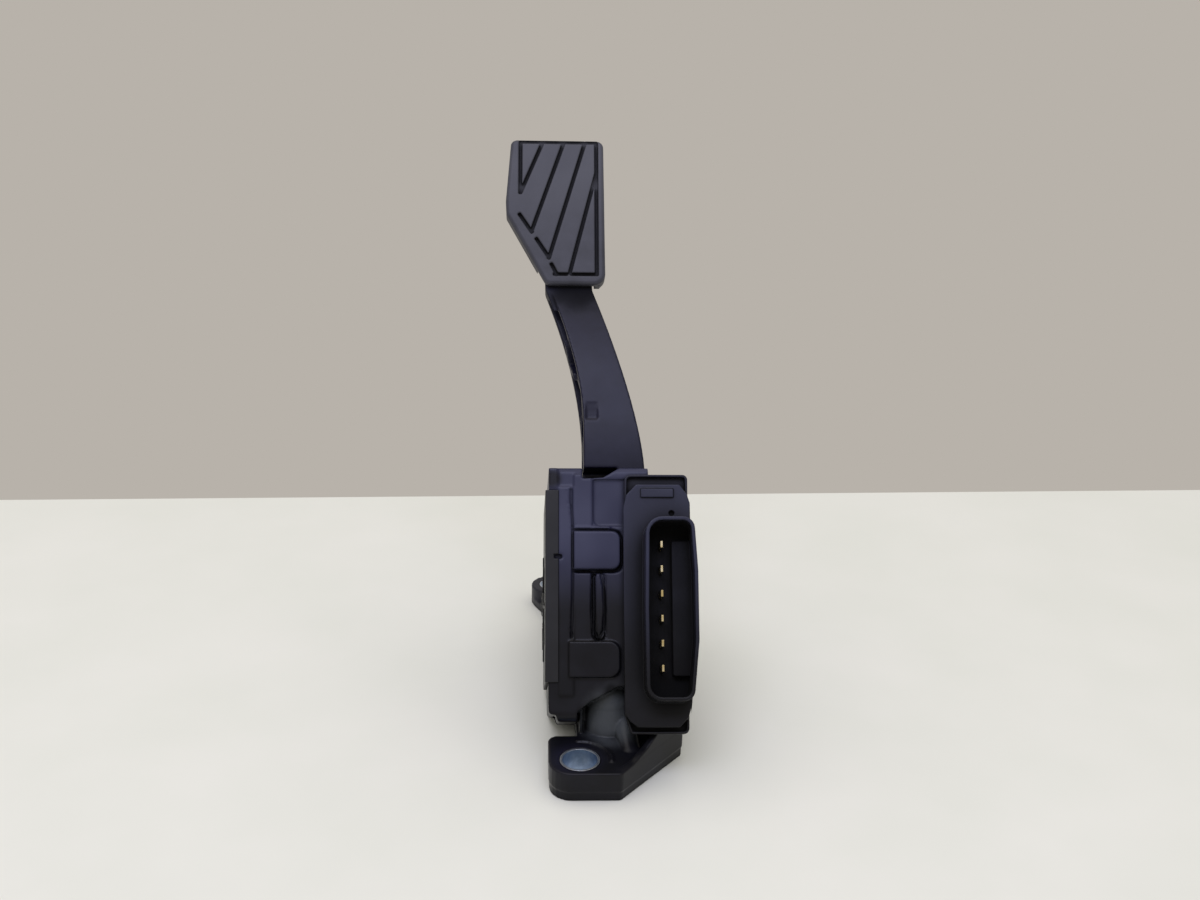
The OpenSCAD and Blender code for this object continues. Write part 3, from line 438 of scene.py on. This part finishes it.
def make_floor():
    """A pale smooth floor that ends at a straight edge, where the pale backdrop begins."""
    left = floor_point(FLOOR_EDGE_LEFT)
    right = floor_point(FLOOR_EDGE_RIGHT)
    along = (right - left).normalized() * FLOOR_REACH
    near = Vector((along.y, -along.x, 0))
    mid = (left + right) / 2
    corners = [mid - along, mid + along, mid + along + near, mid - along + near]
    mesh = bpy.data.meshes.new("floor")
    mesh.from_pydata(corners, [], [(0, 1, 2, 3)])
    floor = placed("floor", mesh)

    made, tree = new_material("pale_floor")
    place = add(tree, "ShaderNodeTexCoord").outputs["Object"]
    cloud = noise(tree, place, FLOOR_CLOUD_MM, 3.0)
    tone = ramp(tree, cloud, 0.3, 0.7, *(linear(colour) for colour in FLOOR_COLOURS))
    shader = add(tree, "ShaderNodeBsdfPrincipled", {"Base Color": tone},
                 Roughness=FLOOR_ROUGHNESS, Specular_IOR_Level=FLOOR_SPECULAR)
    add(tree, "ShaderNodeOutputMaterial", {"Surface": shader.outputs["BSDF"]})
    floor.data.materials.append(made)


def make_world():
    """Soft light from all round; the camera, gloss and clear things see the pale backdrop."""
    world = bpy.data.worlds.new("studio")
    bpy.context.scene.world = world
    world.use_nodes = True
    tree = world.node_tree
    tree.nodes.clear()
    path = add(tree, "ShaderNodeLightPath")
    seen = reckon(tree, "ADD", path.outputs["Is Camera Ray"], path.outputs["Is Glossy Ray"])
    seen_all = add(tree, "ShaderNodeMath", {0: seen, 1: path.outputs["Is Transmission Ray"]},
                   operation="ADD", use_clamp=True)
    light = add(tree, "ShaderNodeBackground", Color=linear(WORLD_COLOUR), Strength=WORLD_STRENGTH)
    backdrop = add(tree, "ShaderNodeBackground", Color=linear(BACKDROP_COLOUR),
                   Strength=BACKDROP_STRENGTH)
    both = add(tree, "ShaderNodeMixShader",
               {0: seen_all.outputs[0], 1: light.outputs[0], 2: backdrop.outputs[0]})
    add(tree, "ShaderNodeOutputWorld", {"Surface": both.outputs[0]})


def make_lamps():
    for name, (place, size, power, colour) in LAMPS.items():
        data = bpy.data.lights.new(name, "AREA")
        data.shape = "RECTANGLE"
        data.size, data.size_y = size
        data.energy = power
        data.color = linear(colour)[:3]
        lamp = placed(name, data)
        lamp.location = place
        aim = Vector(LAMP_AIM) - Vector(place)
        lamp.rotation_euler = aim.to_track_quat("-Z", "Y").to_euler()


# Pieces that stand for the solids, with the rounded edges and smooth faces of real mouldings.
# All places below are in the leaned frame, in millimetres: across, back, up.

WELD_MM = 0.002
FLAT_TURN = math.radians(0.3)
SHARP_TURN = math.radians(28)

# Even skins: voxel size in millimetres and the share of the faces kept
SKINS = {"support_base": (0.42, 0.28), "pedal_arm": (0.42, 0.5), "pedal_pad": (0.32, 0.8)}
SOFT_FACTOR = 0.5
SOFT_ROUNDS = 3

# Rounded edges: their radius in millimetres
EDGE_RADII = {"connector_cap": 0.4, "sensor_housing": 0.4, "side_cover": 0.25}

# The curve of the arm's face: its ends and pull point as [back, up], and its steps in the solid
ARM_CURVE_ENDS = ((-27.2, 46), (-15.4, 131.3))
ARM_CURVE_PULL = (-30, 88)
ARM_CURVE_STEPS = 14

# Grooves in the housing's front face: points as [across, up], half width and depth
FRONT_FACE = -31.8
FRONT_NORMAL = -0.3
GROOVE_REACH = 1.5
GROOVE_SLOPE = 0.9
FRONT_SCORES = (
    # The long upright groove and its wider top
    (((-3.1, 43.2), (-3.1, 38)), 0.55, 0.9),
    (((-3.1, 40), (-2.5, 28), (-2.5, 12), (-2.6, 0), (-3, -14)), 0.4, 1.0),
    # The outline of the tab
    (((-2.4, 27.3), (13, 27.3), (15.4, 26.4), (16.4, 24), (16.5, 14.6), (15.4, 12.2), (13, 11.4),
      (-2.4, 11.4)), 0.4, 1.1),
    # The slots to the left and right of the rib
    (((5.4, 10.6), (5.2, -3), (5.6, -12), (7.1, -14.6)), 0.7, 1.3),
    (((8.2, 10.6), (9.3, 5), (9.7, -3.5), (9.2, -11.5), (7.1, -14.6)), 0.4, 1.0),
)

# Two corners of the block that carries the pad's lip to the right of the arm
LIP_BLOCK = ((7, -16, 131.8), (9.4, -11.6, 136.2))


def welded(node):
    """A node's mesh in the leaned frame, welded, with flat faces joined up."""
    form = bmesh.new()
    form.from_mesh(nodes[node].data)
    form.transform(LEANED.inverted())
    bmesh.ops.remove_doubles(form, verts=form.verts, dist=WELD_MM * MM)
    bmesh.ops.dissolve_limit(form, angle_limit=FLAT_TURN, verts=form.verts, edges=form.edges)
    return form


def settle(piece):
    """Applies a piece's modifiers."""
    graph = bpy.context.evaluated_depsgraph_get()
    graph.update()
    done = bpy.data.meshes.new_from_object(piece.evaluated_get(graph))
    piece.modifiers.clear()
    piece.data = done


def modified(form, *steps):
    """Takes a form through modifiers, each given as its kind and its settings."""
    mesh = bpy.data.meshes.new("blank")
    form.to_mesh(mesh)
    form.free()
    piece = placed("blank", mesh)
    for kind, settings in steps:
        modifier = piece.modifiers.new(kind.lower(), kind)
        for key, value in settings.items():
            setattr(modifier, key, value)
    settle(piece)
    out = bmesh.new()
    out.from_mesh(piece.data)
    bpy.data.objects.remove(piece)
    return out


def skinned(form, voxel_mm):
    """Gives a form one even skin, whose corners and joins are soft as a mould leaves them."""
    return modified(form, ("REMESH", {"mode": "VOXEL", "voxel_size": voxel_mm * MM}),
                    ("SMOOTH", {"factor": SOFT_FACTOR, "iterations": SOFT_ROUNDS}))


def thinned(form, share):
    """Takes the spare faces out of flat places."""
    return modified(form, ("DECIMATE", {"ratio": share}))


def round_edges(form, radius_mm):
    """Rounds every sharp edge."""
    sharp = [edge for edge in form.edges
             if len(edge.link_faces) == 2 and edge.calc_face_angle(0) > SHARP_TURN]
    bmesh.ops.bevel(form, geom=sharp, offset=radius_mm * MM, offset_type="OFFSET", segments=2,
                    profile=0.5, affect="EDGES", clamp_overlap=False)


def off_curve(height):
    """How far the arm's true curve lies behind its straight steps at a height."""
    (back0, up0), (back1, up1) = ARM_CURVE_ENDS
    pull_back, pull_up = ARM_CURVE_PULL
    bend = up0 - 2 * pull_up + up1
    rise = 2 * (pull_up - up0)
    along = (-rise + math.sqrt(rise * rise + 4 * bend * (height - up0))) / (2 * bend)
    step = math.floor(along * ARM_CURVE_STEPS)
    true, before, after = (
        back0 * (1 - t) ** 2 + pull_back * 2 * t * (1 - t) + back1 * t * t
        for t in (along, step / ARM_CURVE_STEPS, min(1, (step + 1) / ARM_CURVE_STEPS)))
    share = along * ARM_CURVE_STEPS - step
    return true - (before * (1 - share) + after * share)


def ease_arm(form):
    """Takes the arm's face from the straight steps of the solid to its true curve."""
    for vert in form.verts:
        height = vert.co.z / MM
        if ARM_CURVE_ENDS[0][1] < height < ARM_CURVE_ENDS[1][1]:
            vert.co.y += off_curve(height) * MM


def to_line(point, start, end):
    """Distance of a flat point from a straight stretch of line."""
    run = (end[0] - start[0], end[1] - start[1])
    rel = (point[0] - start[0], point[1] - start[1])
    share = (rel[0] * run[0] + rel[1] * run[1]) / (run[0] ** 2 + run[1] ** 2)
    share = max(0, min(1, share))
    return math.hypot(rel[0] - share * run[0], rel[1] - share * run[1])


def score_front(form):
    """Presses the moulded grooves into the housing's front face."""
    for vert in form.verts:
        if vert.co.y > FRONT_FACE * MM or vert.normal.y > FRONT_NORMAL:
            continue
        place = (vert.co.x / MM, vert.co.z / MM)
        press = 0
        for line, half, depth in FRONT_SCORES:
            away = min(to_line(place, start, end) for start, end in zip(line, line[1:]))
            share = (GROOVE_REACH * half - away) / (GROOVE_SLOPE * half)
            press = max(press, depth * max(0, min(1, share)))
        vert.co.y += press * MM


def fill_lip(form):
    """Carries the pad's lower lip up to the arm's right side."""
    low, high = (Vector(corner) * MM for corner in LIP_BLOCK)
    place = Matrix.Translation((low + high) / 2) @ Matrix.Diagonal((*(high - low), 1))
    bmesh.ops.create_cube(form, size=1, matrix=place)


def new_piece(form, name):
    """Turns a form of the leaned frame to a smooth-shaded object."""
    form.transform(LEANED)
    mesh = bpy.data.meshes.new(name)
    form.to_mesh(mesh)
    form.free()
    for face in mesh.polygons:
        face.use_smooth = True
    return placed(name, mesh)


def finish_moulding(form, node):
    """Turns a form to the piece that stands for its node, with even shading on its curves."""
    piece = new_piece(form, node + "_moulding")
    piece.modifiers.new("even_shading", "WEIGHTED_NORMAL").keep_sharp = False
    settle(piece)
    piece.data.materials.append(FINISHES[SLOT_OF[node]])
    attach(piece, BODY_OF[node])
    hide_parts(node)


def make_mouldings():
    for node, (voxel_mm, share) in SKINS.items():
        form = welded(node)
        if node == "pedal_pad":
            fill_lip(form)
        form = skinned(form, voxel_mm)
        if node == "support_base":
            score_front(form)
        if node == "pedal_arm":
            ease_arm(form)
        finish_moulding(thinned(form, share), node)
    for node, radius_mm in EDGE_RADII.items():
        form = welded(node)
        round_edges(form, radius_mm)
        finish_moulding(form, node)


def make_springs():
    """Return springs between the front wall and the seat on the pedal, as smooth-shaded pieces in place of their
    nodes.
    """
    for node in ("outer_spring", "inner_spring"):
        coil = new_piece(welded(node), node + "_coil")
        coil.data.materials.append(FINISHES[SLOT_OF[node]])
        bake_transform(coil)
        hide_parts(node)


bpy.context.scene.view_settings.view_transform = "Standard"
make_camera()
make_world()
make_lamps()
make_floor()
dress_frame()
make_mouldings()
make_springs()
